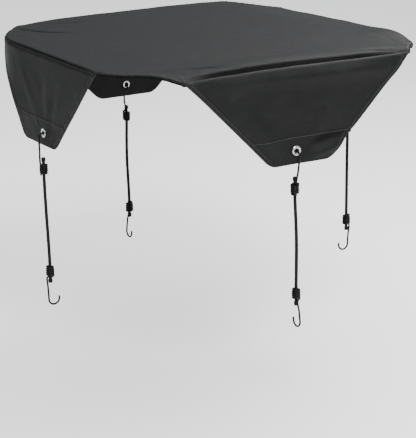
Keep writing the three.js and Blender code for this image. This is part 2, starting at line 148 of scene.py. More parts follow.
# Folds in the hanging flaps: side, from and to as (sideways, depth), reach, height.
FLAP_FOLDS = (
    ("front", (-0.27, -0.014), (0.24, -0.014), 0.011, -0.013),
    ("front", (-0.24, 0.024), (0.23, 0.023), 0.016, 0.009),
    ("front", (0.01, 0.196), (0.15, 0.178), 0.013, -0.006),
    ("front", (0.03, 0.222), (0.112, 0.208), 0.012, 0.008),
    ("front", (-0.19, 0.09), (-0.06, 0.19), 0.026, 0.003),
    ("left", (-0.25, 0.001), (0.22, 0.001), 0.006, -0.004),
    ("left", (-0.062, 0.06), (-0.058, 0.165), 0.016, -0.001),
    ("left", (-0.03, 0.06), (-0.042, 0.178), 0.015, 0.001),
    ("left", (0.012, 0.08), (-0.022, 0.19), 0.016, -0.002),
    ("right", (-0.24, 0.013), (0.24, 0.013), 0.007, -0.003),
    ("right", (-0.04, 0.05), (-0.014, 0.17), 0.016, 0.003),
    ("right", (0.044, 0.06), (0.018, 0.172), 0.016, -0.003),
    ("back", (-0.24, 0.013), (0.24, 0.013), 0.007, -0.003),
    ("back", (0.036, 0.05), (0.014, 0.17), 0.016, 0.003),
    ("back", (-0.048, 0.06), (-0.018, 0.172), 0.016, -0.003),
)

# Creases in the top: from and to as (x, y), reach, height.
TOP_FOLDS = (
    ((-0.335, 0.43), (-0.175, 0.378), 0.024, -0.0025),
    ((-0.388, 0.392), (-0.292, 0.265), 0.024, -0.0025),
    ((-0.425, 0.305), (-0.372, 0.262), 0.02, 0.002),
    ((-0.305, -0.286), (-0.19, -0.376), 0.024, -0.0025),
    ((-0.32, -0.345), (-0.262, -0.384), 0.02, 0.002),
    ((0.232, -0.383), (0.35, -0.43), 0.024, -0.0025),
    ((0.39, -0.25), (0.404, -0.365), 0.022, -0.002),
)

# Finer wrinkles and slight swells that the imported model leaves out, in the same two forms.
FINE_FLAP_FOLDS = (
    ("front", (-0.13, 0.05), (-0.05, 0.172), 0.008, 0.0012),
    ("front", (0.12, 0.04), (0.03, 0.17), 0.012, 0.0012),
    ("front", (0.2, 0.05), (0.1, 0.15), 0.01, -0.001),
    ("front", (-0.2, 0.07), (-0.07, 0.2), 0.03, 0.01),
    ("front", (0.0, 0.03), (0.3, 0.036), 0.02, 0.007),
    ("front", (-0.28, -0.022), (0.3, -0.02), 0.006, -0.003),
    ("front", (0.16, -0.014), (0.33, -0.012), 0.01, -0.009),
    ("front", (-0.05, 0.178), (-0.022, 0.2), 0.004, 0.0008),
    ("front", (0.04, 0.19), (0.002, 0.2), 0.004, 0.0008),
    ("front", (-0.012, 0.174), (-0.014, 0.192), 0.003, -0.0006),
    ("left", (-0.25, -0.001), (0.22, -0.001), 0.006, -0.0012),
    ("left", (-0.2, 0.03), (-0.1, 0.16), 0.012, 0.0012),
    ("left", (0.09, 0.03), (0.0, 0.15), 0.01, 0.001),
    ("left", (-0.1, 0.178), (-0.07, 0.2), 0.004, 0.0008),
    ("left", (-0.02, 0.184), (-0.042, 0.2), 0.004, 0.0008),
    ("right", (-0.15, 0.04), (-0.05, 0.17), 0.011, 0.001),
    ("right", (0.16, 0.04), (0.06, 0.16), 0.011, -0.001),
    ("back", (-0.16, 0.04), (-0.06, 0.17), 0.011, 0.001),
    ("back", (0.15, 0.04), (0.05, 0.16), 0.011, -0.001),
)
FINE_TOP_FOLDS = (
    ((-0.32, 0.413), (-0.18, 0.368), 0.006, -0.005),
    ((-0.35, 0.385), (-0.2, 0.36), 0.008, 0.002),
    ((-0.37, 0.375), (-0.272, 0.254), 0.005, -0.005),
    ((-0.39, 0.33), (-0.33, 0.27), 0.007, 0.002),
    ((-0.4, 0.345), (-0.355, 0.295), 0.005, -0.004),
    ((-0.43, 0.297), (-0.394, 0.27), 0.004, -0.003),
    ((-0.315, -0.3), (-0.19, -0.38), 0.006, -0.0055),
    ((-0.33, -0.34), (-0.2, -0.41), 0.008, 0.0026),
    ((-0.3, -0.425), (-0.12, -0.43), 0.006, -0.003),
    ((0.235, -0.384), (0.35, -0.435), 0.006, -0.0055),
    ((0.24, -0.365), (0.38, -0.4), 0.008, 0.0026),
    ((0.388, -0.27), (0.402, -0.36), 0.006, -0.0055),
    ((0.345, -0.37), (0.375, -0.385), 0.004, -0.002),
    ((0.36, -0.24), (0.385, -0.36), 0.008, 0.0022),
    ((-0.36, 0.405), (-0.24, 0.36), 0.005, 0.0012),
    ((-0.405, 0.35), (-0.33, 0.25), 0.006, 0.0012),
    ((-0.27, -0.33), (-0.2, -0.39), 0.005, 0.001),
    ((-0.29, -0.36), (-0.17, -0.41), 0.005, -0.001),
    ((0.25, -0.4), (0.33, -0.42), 0.005, 0.001),
    ((0.37, -0.29), (0.385, -0.38), 0.006, 0.001),
    ((0.3, 0.35), (0.2, 0.4), 0.008, 0.001),
    ((0.36, 0.31), (0.4, 0.2), 0.008, -0.001),
)

# Folds fade out round an eyelet, past the ends of their lines and this far onto the top. A
# crease's painted shade is full at its depth, and its reach is how far that painted shade runs inwards.
EYELET_CLEAR = 0.016
EYELET_FADE = 0.034
FADE_SHARE = 0.35
LONGEST_FADE = 0.09
FOLD_MARGIN = 0.05
CREASE_SHADE_DEPTH = 0.011
CREASE_SHADE_REACH = 0.006

# The cloth's slight waves: height, turns in x and in y, and phase.
WAVES = (
    (0.0004, 21, 9, 0.7),
    (0.0003, -13, 34, 2.1),
    (0.0002, 57, 41, 1.3),
    (0.00012, -96, 71, 0.0),
)

# Places round which the top sags, as a bell: at (x, y), its reach in x and y, and its drop.
SAGS = (
    ((0.46, 0.42), (0.09, 0.33), 0.016),
    ((0.45, -0.33), (0.06, 0.055), 0.02),
    ((-0.33, -0.455), (0.06, 0.05), 0.005),
    ((0.0, 0.45), (0.3, 0.15), -0.005),
    ((0.45, -0.215), (0.07, 0.07), -0.005),
    ((-0.35, 0.4), (0.07, 0.06), -0.004),
    ((-0.06, -0.388), (0.28, 0.06), -0.0125),
    ((-0.39, -0.38), (0.07, 0.07), -0.004),
)
SAG_FADE = 0.12

# A stretched cord's route between its knobs: how far down it is, as a fraction, and how
# far it sways sideways and outwards from a straight line.
CORD_ROUTE = (
    (0.0, 0.0, 0.0),
    (0.05, 0.0, 0.0),
    (0.11, 0.0, 0.0),
    (0.17, 0.0004, 0.0002),
    (0.24, 0.001, 0.0005),
    (0.31, 0.0016, 0.0008),
    (0.38, 0.002, 0.001),
    (0.45, 0.0021, 0.0012),
    (0.52, 0.002, 0.0012),
    (0.59, 0.0017, 0.001),
    (0.66, 0.0012, 0.0008),
    (0.73, 0.0007, 0.0005),
    (0.8, 0.0003, 0.0002),
    (0.88, 0.0, 0.0),
    (0.94, 0.0, 0.0),
    (1.0, 0.0, 0.0),
)

# Colours with their opacity
THREAD_DARK = (0.03, 0.03, 0.031, 1.0)
THREAD_LIGHT = (0.075, 0.075, 0.078, 1.0)
SCUFF_COLOUR = (0.03, 0.03, 0.03, 1.0)
ROOM_COLOUR = (0.97, 0.98, 1.0, 1.0)

# The camera that matches the photograph's view
CAMERA_PLACE = (-2.3752, -4.0158, 0.9001)
CAMERA_YAW = -0.534048
CAMERA_PITCH = 0.290622
CAMERA_ROLL = -0.01306
CAMERA_LENS = 148.7
CAMERA_SENSOR = 36.0

# The floor's reach, and each light's place and width
FLOOR_REACH = 40.0
TOP_LIGHT = ((2.0, 0.5, 2.0), 1.8)
SIDE_LIGHT = ((-0.8, -3.6, 3.0), 1.6)
SIDE_LIGHT_SHARE = 3.6
LIGHT_AIM = Vector((0.0, 0.0, -0.15))


def smoothstep(low, high, value):
    """0 below low, 1 above high, and between them 3 t squared minus 2 t cubed."""
    t = np.clip((value - low) / (high - low), 0.0, 1.0)
    return t * t * (3.0 - 2.0 * t)


def mix(a, b, t):
    """a where t is 0, b where t is 1, and in proportion between them."""
    return a + (b - a) * t


def unit(vectors):
    """Each vector divided by its own length."""
    return vectors / np.maximum(np.linalg.norm(vectors, axis=-1, keepdims=True), 1e-12)


def beside(side, sideways, outwards, height):
    """Points beside a flap: sideways, outwards from the flap's outside, and height."""
    sideways, outwards, height = np.broadcast_arrays(sideways, outwards, height)
    return (
        np.multiply.outer(TOP_WIDTH / 2 + outwards, side["out"])
        + np.multiply.outer(sideways, side["along"])
        + np.multiply.outer(height, UPWARDS)
    )


def smooth_path(points, count):
    """A smooth curve through points. Between two of them it is the cubic whose slope at
    each is half the step from the point before it to the point after it."""
    points = np.asarray(points, float)
    ends = np.vstack([2 * points[0] - points[1], points, 2 * points[-1] - points[-2]])
    t = np.linspace(0.0, len(points) - 1, count)
    i = np.minimum(t.astype(int), len(points) - 2)
    f = (t - i)[:, None]
    before, start, end, after = ends[i], ends[i + 1], ends[i + 2], ends[i + 3]
    curve = (
        2 * start
        + (end - before) * f
        + (2 * before - 5 * start + 4 * end - after) * f**2
        + (3 * start - before - 3 * end + after) * f**3
    ) / 2
    return even_steps(curve, count)


def run_along(curve):
    """The length of a curve up to each of its points."""
    steps = np.linalg.norm(np.diff(curve, axis=0), axis=1)
    return np.concatenate([[0.0], np.cumsum(steps)])


def even_steps(curve, count):
    """The same curve at points spaced evenly along its length."""
    run = run_along(curve)
    wanted = np.linspace(0.0, run[-1], count)
    return np.stack([np.interp(wanted, run, axis) for axis in curve.T], axis=1)


def circles(first, second, count):
    """Unit circles: at each of count places round, the cosine of the turn times the first
    axis plus its sine times the second."""
    turn = np.linspace(0.0, 2 * np.pi, count, endpoint=False)[:, None]
    return np.cos(turn) * first[..., None, :] + np.sin(turn) * second[..., None, :]


def numbered(places):
    """The number of each place, in the same rows and columns."""
    return np.arange(places.size // places.shape[-1]).reshape(places.shape[:-1])


def grid_faces(index, wrap):
    """Four-sided faces over an array of vertex numbers, rows by columns, whose columns
    close on themselves where wrap is true."""
    if wrap:
        index = np.hstack([index, index[:, :1]])
    corners = [index[:-1, :-1], index[1:, :-1], index[1:, 1:], index[:-1, 1:]]
    return np.stack(corners, axis=-1).reshape(-1, 4)


def swept_tube(path, radius, reference, sides):
    """Rows of a tube and their UV places: at each point of the path, a circle of that
    radius across it, which starts from reference less its share along the path. Each end
    is closed by rings that shrink as the cosine of a quarter turn."""
    along = unit(np.gradient(path, axis=0))
    first = unit(reference - along * np.sum(reference * along, axis=1, keepdims=True))
    ring = circles(first, np.cross(along, first), sides)
    body = path[:, None] + ring * radius[:, None, None]
    cap = np.linspace(0.0, np.pi / 2, CAP_RINGS + 2)[1:-1, None, None]
    reach = np.sin(cap) * 0.35
    head = path[0] + (ring[0] * np.cos(cap) - along[0] * reach) * radius[0]
    tail = path[-1] + (ring[-1] * np.cos(cap) + along[-1] * reach) * radius[-1]
    rows = np.concatenate([head[::-1], body, tail])
    around = np.linspace(0.0, 1.0, sides + 1)
    run = run_along(rows.mean(axis=1))[:, None]
    return rows, np.stack(np.broadcast_arrays(around, run), axis=-1)


def lathed(profile, axis, centre, segments):
    """Rows of a ring round a level axis: each point of the profile, as radius and height
    along the axis, is carried in a circle."""
    first = unit(np.cross(axis, UPWARDS))
    radius, height = profile.T[..., None, None]
    return centre + circles(first, np.cross(axis, first), segments) * radius + axis * height


def make_object(name, vertices, faces, material, uv=None):
    """A mesh object of that name at the origin, smooth shaded. uv holds two numbers for
    each face corner, in the order of the faces."""
    if not np.isfinite(vertices).all():
        raise RuntimeError(f"{name} has a place that is not a number")
    mesh = bpy.data.meshes.new(name)
    mesh.from_pydata(vertices.tolist(), [], faces)
    mesh.update()
    if uv is not None:
        mesh.uv_layers.new(name="UVMap").data.foreach_set("uv", np.asarray(uv, np.float32).ravel())
    mesh.polygons.foreach_set("use_smooth", np.ones(len(mesh.polygons), bool))
    mesh.materials.append(material)
    piece = bpy.data.objects.new(name, mesh)
    bpy.context.scene.collection.objects.link(piece)
    return piece


def put_on(piece, slot, *nodes):
    """Rides the piece on the cover's body, in place of the nodes. Its slot is not used."""
    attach(piece, "root")
    if nodes:
        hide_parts(*nodes)


def tube_object(name, path, radius, reference, sides, material):
    """A tube as an object, with its length and its turn round the path in its UV map."""
    radius = np.broadcast_to(np.asarray(radius, float), (len(path),))
    rows, uv = swept_tube(path, radius, reference, sides)
    index = numbered(rows)
    faces = grid_faces(index, True)[:, ::-1].tolist() + [index[0].tolist(), index[-1][::-1].tolist()]
    corners = grid_faces(numbered(uv), False)[:, ::-1].ravel()
    corner_uv = np.vstack([uv.reshape(-1, 2)[corners], np.zeros((2 * sides, 2))])
    return make_object(name, rows.reshape(-1, 3), faces, material, corner_uv)


# Cloth: its shape

def fold_foot(place):
    """Where the cloth starts to turn down: the foot on the inner edge of the fold, the
    direction out of it, and how far past it a place on the cut sheet lies. Opposite a flap
    the foot keeps its sideways place, and at the middle of a round corner it is radial."""
    wrapped = (place[:, 0] < 0) & (place[:, 1] > 0)
    radius = np.where(wrapped, WRAP_RADIUS, CORNER_RADIUS)
    centre, inner = HALF - radius, radius - EDGE_RADIUS
    over = np.maximum(np.abs(place) - centre[:, None], 0.0)
    rows = np.arange(len(place))
    main = (over[:, 1] >= over[:, 0]).astype(int)
    side = 1 - main
    over_main, over_side = over[rows, main], over[rows, side]
    straight_angle = np.arcsin(np.minimum(over_side / inner, 0.96))
    straight_past = np.abs(place[rows, main]) - centre - inner * np.cos(straight_angle)
    radial_angle = np.arctan2(over_side, over_main)
    radial_past = np.hypot(over_main, over_side) - inner
    turn = smoothstep(0.3, 1.0, over_side / np.maximum(over_main, 1e-9))
    angle = mix(straight_angle, radial_angle, turn)
    sign = np.sign(place)
    out = np.zeros_like(place)
    out[rows, main] = sign[rows, main] * np.cos(angle)
    out[rows, side] = sign[rows, side] * np.sin(angle)
    foot = sign * centre[:, None] + inner[:, None] * out
    foot[rows, side] = np.where(over_side > 0, foot[rows, side], place[rows, side])
    return foot, out, mix(straight_past, radial_past, turn)


def fold_height(place, start, end, width, height):
    """One soft fold: a bell across the line from start to end, faded over its ends."""
    start, end = np.array(start), np.array(end)
    length = np.linalg.norm(end - start)
    step = (end - start) / length
    along = (place - start) @ step
    across = (place - start) @ np.array([step[1], -step[0]])
    fade = min(length * FADE_SHARE, LONGEST_FADE)
    ends = smoothstep(-fade, fade, along) * smoothstep(-fade, fade, length - along)
    return height * ends * np.exp(-((across / width) ** 2))


def on_side(side, place):
    """Places on the cut sheet as sideways and depth on one side."""
    return np.stack([place @ side["along"][:2], place @ side["out"][:2] - HALF], axis=1)


def slight_waves(place):
    """The cloth's slight unevenness: a sum of long sine waves that cross each other."""
    x, y = place.T
    return sum(height * np.sin(in_x * x + in_y * y + phase) for height, in_x, in_y, phase in WAVES)


def relief(place):
    """How far the folds lift the cloth from its plain draped shape."""
    depth_scale = bpy.context.scene.cover_cloth.fold_depth
    height = slight_waves(place)
    for start, end, width, lift in TOP_FOLDS + FINE_TOP_FOLDS:
        height += fold_height(place, start, end, width, lift)
    for side in SIDES:
        local = on_side(side, place)
        near = local[:, 1] > -FOLD_MARGIN
        reach = np.hypot(local[near, 0] - side["eyelet"], local[near, 1] - EYELET_DROP)
        calm = smoothstep(EYELET_CLEAR, EYELET_FADE, reach)
        for name, start, end, width, lift in FLAP_FOLDS + FINE_FLAP_FOLDS:
            if name == side["name"]:
                height[near] += calm * fold_height(local[near], start, end, width, lift)
    return height * depth_scale


def sag(place):
    """How far the cloth sags: a sum of bells, faded out down each flap."""
    depth = np.abs(place).max(axis=1) - HALF
    total = np.zeros(len(place))
    for at, reach, drop in SAGS:
        total += drop * np.exp(-np.sum(((place - np.array(at)) / np.array(reach)) ** 2, axis=1))
    return total * (1 - smoothstep(0.0, SAG_FADE, depth))


def shade_relief_floor(place):
    """The lower of the relief at a place and a little further out, so that the painted shade
    of a trough also lies on its inner slope."""
    further = place + unit(place) * CREASE_SHADE_REACH
    return np.minimum(relief(place), relief(further))


def corner_hems():
    """The start and end of the hem across each corner, on the cut sheet."""
    return [
        (flap_places(side, side["fold"][1], 0.0), flap_places(following, following["fold"][0], 0.0))
        for side, following in zip(SIDES, SIDES[1:] + SIDES[:1])
    ]


def corner_distance(place):
    """Distance from places on the cut sheet to the nearest of the four corner hems."""
    return np.min([segment_distance(place, start, end) for start, end in corner_hems()], axis=0)


def segment_distance(place, start, end):
    """Distance from places to a straight line that ends at start and end."""
    run = end - start
    t = np.clip(((place - start) @ run) / (run @ run), 0.0, 1.0)
    return np.linalg.norm(place - start - t[:, None] * run, axis=1)


def drape(place):
    """The underside of the draped cloth: flat on top, a quarter round of the fold's radius,
    straight down below it, lifted by the folds along the way that it faces."""
    foot, out, past = fold_foot(place)
    lift = relief(place)
    angle = np.clip(past / (2 * EDGE_RADIUS), 0.0, 1.0) * np.pi / 2
    below = np.maximum(past - 2 * EDGE_RADIUS, 0.0)
    reach = (EDGE_RADIUS + lift) * np.sin(angle)
    across = np.where((past <= 0)[:, None], place, foot + out * reach[:, None])
    near_corner = (place[:, 0] < 0) & (place[:, 1] < 0)
    turned_down = np.where(near_corner, NEAR_CORNER_DROOP, CORNER_DROOP)
    droop = turned_down * (1 - smoothstep(0.0, DROOP_REACH, corner_distance(place))) ** 2
    height = (EDGE_RADIUS + lift) * np.cos(angle) - EDGE_RADIUS - below - droop - sag(place)
    return np.column_stack([across, height])


def drape_normals(place):
    """The way the cloth faces: the cross product of its slopes along x and along y."""
    step = 0.0006
    slope_x = drape(place + [step, 0.0]) - drape(place - [step, 0.0])
    slope_y = drape(place + [0.0, step]) - drape(place - [0.0, step])
    return unit(np.cross(slope_x, slope_y))


def flap_places(side, sideways, depth):
    """Places on the cut sheet from sideways and depth on one side."""
    sideways, depth = np.broadcast_arrays(sideways, depth)
    outwards = np.multiply.outer(HALF + depth, side["out"][:2])
    return outwards + np.multiply.outer(sideways, side["along"][:2])


def flap_limits(side, depth):
    """Sideways limits of a flap at a depth: a straight taper with the tip's corners round."""
    down = depth / FLAP_DROP
    low = np.maximum(depth - (FLAP_DROP - TIP_ROUND), 0.0)
    rounding = TIP_ROUND - np.sqrt(np.maximum(TIP_ROUND**2 - low**2, 0.0))
    first, last = (mix(at_fold, at_tip, down) for at_fold, at_tip in zip(side["fold"], side["tip"]))
    return first + rounding, last - rounding


# The lines of the sheet's grid, close together at hems and stitches: steps in from a
# flap's edge, depths down a flap, and fractions of the way out over the flat top. There
# are as many columns between a flap's hems as its inner number, and as many places along
# a corner hem as its own. The rings within the hem band bridge the corners.
HEM_STEPS = np.array([0.0, 0.0004, 0.001, 0.0022, 0.005, 0.0082, 0.009, 0.0098, 0.0106, 0.0114])
FLAP_DEPTHS = np.concatenate([
    np.linspace(0.0, 0.05, 22)[1:],
    np.linspace(0.05, 0.162, 27)[1:],
    [0.165, 0.1675, 0.169, 0.1698, 0.1706, 0.172, 0.174],
    np.linspace(0.174, 0.232, 17)[1:],
    [0.2345, 0.2365, 0.238, 0.239, 0.2396, 0.24],
])
TOP_RINGS = np.concatenate([np.linspace(0.06, 0.6, 9), np.linspace(0.63, 1.0, 26)])
FOLD_RINGS = 16
FLAP_INNER = 44
CORNER_PLACES = 24
HEM_BAND = 0.026


def flap_columns(low, high):
    """Sideways places across rows of a flap: some at fixed steps from each slanted edge,
    for its hem, and the rest evenly between them."""
    low, high = np.atleast_1d(low)[:, None], np.atleast_1d(high)[:, None]
    steps = HEM_STEPS[None, :] * np.sqrt(2)
    share = np.linspace(0.0, 1.0, FLAP_INNER + 1)[None, 1:-1]
    inner = mix(low + steps[:, -1:], high - steps[:, -1:], share)
    return np.hstack([low + steps, inner, (high - steps)[:, ::-1]])


def top_outline():
    """The outline of the top on the cut sheet: four folds joined by four corner hems."""
    share = np.linspace(0.0, 1.0, CORNER_PLACES + 1)[1:-1, None]
    parts = []
    for side, (start, end) in zip(SIDES, corner_hems()):
        parts += [flap_places(side, flap_columns(*side["fold"])[0], 0.0), mix(start, end, share)]
    return np.vstack(parts)


def fraction_at(outline, past):
    """The fraction of the way from the centre to each outline place at which the cloth is
    turned down by a given length, found by halving."""
    low, high = np.full(len(outline), 0.5), np.ones(len(outline))
    for _ in range(24):
        middle = (low + high) / 2
        short = fold_foot(outline * middle[:, None])[2] < past
        low, high = np.where(short, middle, low), np.where(short, high, middle)
    return high


def near_fractions(outline):
    """Fractions of the way to each outline place, for the rings near it: spread over the
    fold where the cloth turns down, and over the hem where it bridges a corner."""
    whole = fold_foot(outline)[2]
    folded = smoothstep(0.003, EDGE_RADIUS, whole)
    reach = np.linalg.norm(outline, axis=1)
    steps = (1 - np.cos(np.linspace(0.0, np.pi, FOLD_RINGS + 1)[:-1])) / 2
    rings = [(1 - HEM_BAND * (1 - step) / reach, fraction_at(outline, whole * step)) for step in steps]
    return np.array([mix(bridged, turned, folded) for bridged, turned in rings])


def sheet_grid():
    """The cut sheet as places and faces, with the loop round its free edge. The top is a
    grid of rings by outline places, and each flap is a grid of depths by columns."""
    outline = top_outline()
    near = near_fractions(outline)
    fractions = np.vstack([near[0] * TOP_RINGS[:, None], near[1:], np.ones(len(outline))])
    rings = outline[None] * fractions[..., None]
    index = np.arange(1, rings.shape[0] * rings.shape[1] + 1).reshape(rings.shape[:2])
    places = [np.zeros((1, 2)), rings.reshape(-1, 2)]
    hub = np.stack([np.zeros_like(index[0]), index[0], np.roll(index[0], -1)], axis=1)
    quads = [grid_faces(index, True)]
    total = index.max() + 1
    columns = FLAP_INNER - 1 + 2 * len(HEM_STEPS)
    loop = []
    for number, side in enumerate(SIDES):
        first = number * (columns + CORNER_PLACES - 1)
        across = flap_columns(*flap_limits(side, FLAP_DEPTHS))
        grid = flap_places(side, across, FLAP_DEPTHS[:, None])
        own = total + np.arange(grid.shape[0] * columns).reshape(grid.shape[:2])
        total = own.max() + 1
        rows = np.vstack([index[-1, first:first + columns], own])
        places.append(grid.reshape(-1, 2))
        quads.append(grid_faces(rows, False))
        corner = index[-1, first + columns:first + columns + CORNER_PLACES - 1]
        loop += [rows[:, 0], rows[-1, 1:-1], rows[::-1, -1], corner]
    return np.vstack(places), hub, np.vstack(quads), np.concatenate(loop)


def edge_distance(place, edge):
    """Distance from places to the nearest stretch of the cut edge, a closed line."""
    nearest = np.full(len(place), np.inf)
    for start, end in zip(edge, np.roll(edge, -1, axis=0)):
        if not np.allclose(start, end):
            nearest = np.minimum(nearest, segment_distance(place, start, end))
    return nearest


def tip_depth(place):
    """How far past the start of its flap's wide tip hem a place is, below 0 above it."""
    deepest = np.max([on_side(side, place)[:, 1] for side in SIDES], axis=0)
    return deepest - (FLAP_DROP - TIP_HEM)


def cloth_thickness(place, edge_away):
    """The cloth's thickness: that of one layer, raised over the hems, with a shallow
    groove at each line of stitches, and rounded down at the cut edge."""
    side_hem = 1 - smoothstep(SIDE_HEM - 0.0008, SIDE_HEM + 0.0004, edge_away)
    tip = tip_depth(place)
    tip_hem = smoothstep(-0.006, 0.004, tip)
    body = mix(CLOTH, HEM_CLOTH, np.maximum(side_hem, tip_hem))
    groove = np.exp(-(((edge_away - STITCH_INSET) / 0.0011) ** 2))
    tip_groove = np.exp(-(((tip - TIP_SEAM) / 0.0013) ** 2))
    body -= GROOVE_DEPTH * np.maximum(groove, 0.3 * tip_groove)
    rim = np.sqrt(1 - (1 - np.clip(edge_away / RIM, 0.0, 1.0)) ** 2)
    return body * mix(0.35, 1.0, rim)


def hem_pucker(place, edge_away):
    """Slight puckers along a sewn hem: a sine along the edge, widest at the stitches."""
    along = (np.abs(place[:, 0]) - np.abs(place[:, 1])) / np.sqrt(2)
    band = np.exp(-(((edge_away - STITCH_INSET) / STITCH_INSET) ** 2))
    return 0.00035 * band * (np.sin(along * 380) + 0.6 * np.sin(along * 233 + 1.0))


def outside_of(place, edge):
    """The outside of the cloth: its underside plus its thickness along its normal."""
    away = edge_distance(place, edge)
    thick = cloth_thickness(place, away) + hem_pucker(place, away)
    normals = drape_normals(place)
    return drape(place) + normals * thick[:, None], normals


def hem_edge():
    """The cut edge as a closed line of places on the flat sheet, on fewer points."""
    depths = np.array([0.0, 0.226, 0.23, 0.234, 0.237, 0.239, 0.24])
    parts = []
    for side in SIDES:
        low, high = flap_limits(side, depths)
        parts += [flap_places(side, low, depths), flap_places(side, high, depths)[::-1]]
    return np.vstack(parts)


def build_cloth(material):
    """The sheet as one closed shell: outside, underside and a wall round its free edge."""
    places, hub, quads, loop = sheet_grid()
    edge = hem_edge()
    under = drape(places)
    outside, _ = outside_of(places, edge)
    count = len(places)
    ahead = np.roll(loop, -1)
    wall = np.stack([loop, ahead, ahead + count, loop + count], axis=1)
    four = np.vstack([quads + count, quads[:, ::-1], wall])
    three = np.vstack([hub + count, hub[:, ::-1]])
    flat = np.vstack([places, places])
    uv = flat[np.concatenate([four.ravel(), three.ravel()])] / FLAT_SPAN + 0.5
    vertices = np.vstack([under, outside])
    piece = make_object("cover_sheet", vertices, four.tolist() + three.tolist(), material, uv)
    on_flap = smoothstep(0.0, 0.01, np.abs(places).max(axis=1) - HALF)
    worn = on_flap * (1 - smoothstep(0.0, WORN_WIDTH, edge_distance(places, edge)))
    # Painted shade: darkens the cloth and takes away its shine in the fold troughs, on their inner slopes and
    # along the corner hems.
    painted_shade_amount = np.clip(-shade_relief_floor(places) / CREASE_SHADE_DEPTH, 0.0, 1.0)
    painted_shade_amount = np.maximum(painted_shade_amount, 0.75 * (1 - smoothstep(0.003, 0.009, corner_distance(places))))
    for name, values in (("edge_wear", worn), ("painted_crease_shade", painted_shade_amount)):
        layer = piece.data.attributes.new(name, "FLOAT", "POINT")
        layer.data.foreach_set("value", np.concatenate([values, values]).astype(np.float32))
    return piece


# Stitches

def stitch_lines():
    """The lines of stitches on the flat sheet, as start and end places."""
    lines = []
    seam = FLAP_DROP - TIP_HEM + TIP_SEAM
    slant = np.sqrt(2) * STITCH_INSET
    depths = np.array([0.006, FLAP_DROP - 0.012])
    for side in SIDES:
        low, high = flap_limits(side, depths)
        lines += [flap_places(side, low + slant, depths), flap_places(side, high - slant, depths)]
        low, high = flap_limits(side, seam)
        lines.append(flap_places(side, np.array([low + slant, high - slant]), seam))
    for start, end in corner_hems():
        run = unit(end - start)
        inwards = np.array([-run[1], run[0]]) * STITCH_INSET
        lines.append(np.array([mix(start, end, 0.04), mix(start, end, 0.96)]) + inwards)
    return lines


def build_stitches(material):
    """The stitches: each is a small bead whose width is the root of one minus the square
    of the place along it, laid on the cloth's outside."""
    pitch = bpy.context.scene.cover_cloth.stitch_pitch
    centres, ways = [], []
    for start, end in stitch_lines():
        length = np.linalg.norm(end - start)
        count = max(int(length / pitch), 1)
        share = (np.arange(count) + 0.5) / count
        centres.append(mix(start, end, share[:, None]))
        ways.append(np.repeat([(end - start) / length], count, axis=0))
    centres, ways = np.vstack(centres), np.vstack(ways)
    t = np.array([-1.0, -0.82, -0.4, 0.4, 0.82, 1.0])
    stations = centres[:, None] + ways[:, None] * (t * pitch * 0.4)[None, :, None]
    flat = stations.reshape(-1, 2)
    surface, normals = outside_of(flat, hem_edge())
    surface = surface.reshape(len(centres), len(t), 3)
    normals = normals.reshape(surface.shape)
    along = unit(surface[:, -1:] - surface[:, :1])
    across = unit(np.cross(normals, along))
    width = STITCH_RADIUS * np.sqrt(np.maximum(1 - t**2, 0.03))
    ring = circles(across, normals, STITCH_SIDES)
    rise = (STITCH_RISE * (1 - t**2))[None, :, None] * normals
    beads = surface[:, :, None] + rise[:, :, None] + ring * width[None, :, None, None]
    index = numbered(beads)
    ahead = np.roll(index, -1, axis=2)
    corners = [index[:, :-1], ahead[:, :-1], ahead[:, 1:], index[:, 1:]]
    quads = np.stack(corners, axis=-1).reshape(-1, 4)
    caps = np.vstack([index[:, 0, ::-1], index[:, -1]])
    return make_object("hem_stitches", beads.reshape(-1, 3), quads.tolist() + caps.tolist(), material)


# Eyelets, hooks, cords and knobs

def build_eyelet(side, material):
    """A pressed ring: a domed flange outside, a rolled barrel and a flatter flange inside."""
    outside = HEM_CLOTH - CLOTH + GAP
    inside = -CLOTH - GAP
    dome = np.linspace(0.0, np.pi, 15)
    middle = (EYELET_BORE + EYELET_FLANGE) / 2
    half = (EYELET_FLANGE - EYELET_BORE) / 2
    height = outside + GAP + EYELET_DOME * np.sin(dome) ** 0.8
    crown = np.stack([middle + half * np.cos(dome), height], axis=1)
    back = np.array([
        [EYELET_BORE, outside - 0.0005],
        [EYELET_BORE, inside - 0.0006],
        [EYELET_BORE + 0.0004, inside - 0.001],
        [EYELET_BACK - 0.0005, inside - 0.001],
        [EYELET_BACK, inside - 0.0006],
        [EYELET_BACK - 0.0002, inside],
        [EYELET_BARREL, inside],
        [EYELET_BARREL, outside],
        [EYELET_FLANGE - 0.0002, outside],
    ])
    centre = beside(side, side["eyelet"], 0.0, -EYELET_DROP)
    rows = lathed(np.vstack([crown, back]), np.array(side["out"]), centre, RING_SEGMENTS)
    index = numbered(rows)
    faces = grid_faces(np.vstack([index, index[:1]]), True)[:, ::-1].tolist()
    return make_object(f"eyelet_ring_{side['name']}", rows.reshape(-1, 3), faces, material)


def coil_route(side, sideways, start, way):
    """Points round a coil, from the turn where its shank joins it: a circle whose height
    changes evenly and whose radius narrows over the last turns."""
    count = COIL_TURNS * COIL_POINTS
    t = np.arange(1, count + 1) / count
    angle = t * COIL_TURNS * 2 * np.pi
    radius = mix(COIL_RADIUS, COIL_END_RADIUS, smoothstep(COIL_NARROWS, 1.0, t))
    return beside(
        side,
        sideways + radius * np.sin(angle),
        CORD_STANDOFF + radius * np.cos(angle),
        start + way * t * COIL_HEIGHT,
    )


